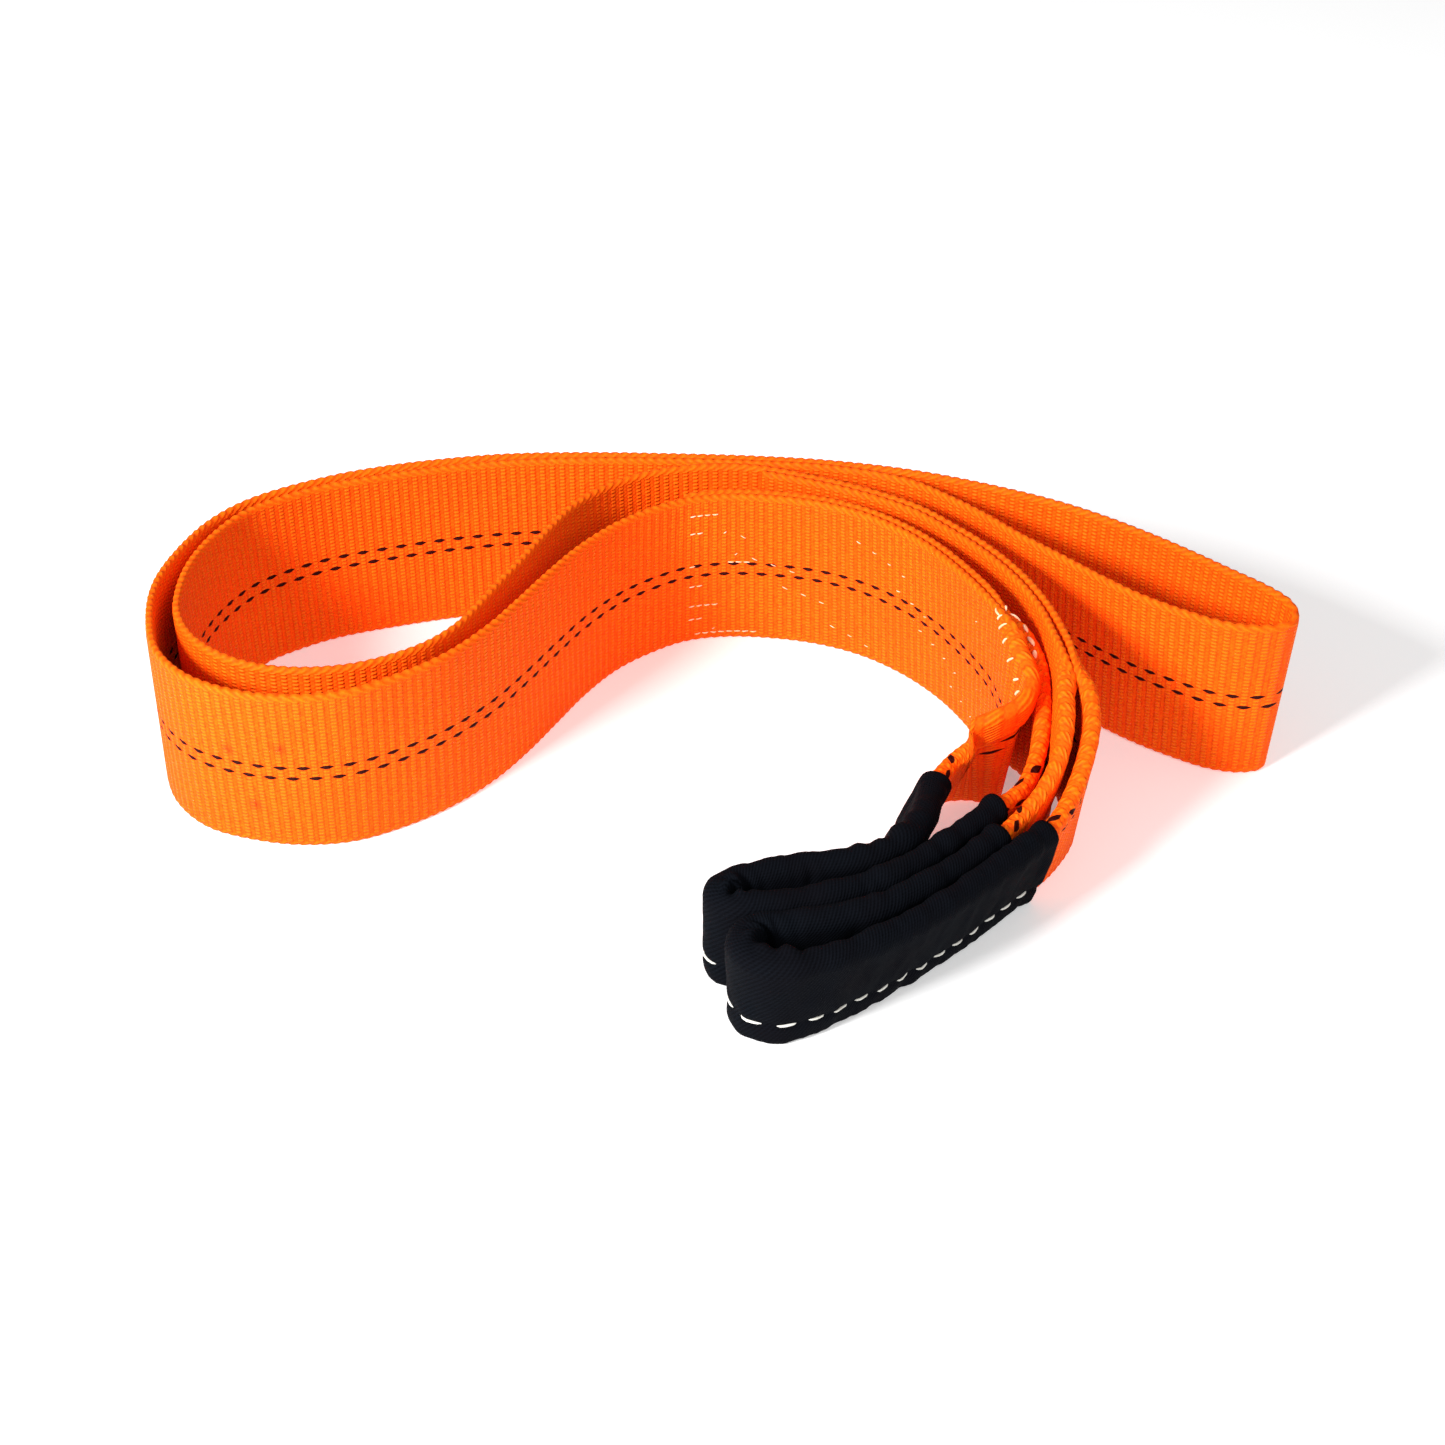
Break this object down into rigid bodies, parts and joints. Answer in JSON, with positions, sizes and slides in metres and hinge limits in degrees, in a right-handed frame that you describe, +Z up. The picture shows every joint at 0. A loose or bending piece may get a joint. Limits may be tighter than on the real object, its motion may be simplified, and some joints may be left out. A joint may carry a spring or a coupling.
{
  "type": "tow strap",
  "caption": "Wide orange webbing tow strap with a black-sleeved eye at each end, laid down doubled and standing on its edge.",
  "frame": {"origin": "under the middle of the laid strap, on the surface that it stands on", "axes": "+X along the laid strap, with the eyes on the -Y side, and +Z up across the webbing's width"},
  "size_m": [0.4564, 0.3051, 0.0754],
  "materials": {
    "webbing": "matt woven polyester",
    "sleeve_cloth": "matt twill cloth"
  },
  "bodies": {
    "root": {"strap_webbing": "webbing", "eye_sleeve_first": "sleeve_cloth", "eye_sleeve_second": "sleeve_cloth"}
  },
  "joints": []
}
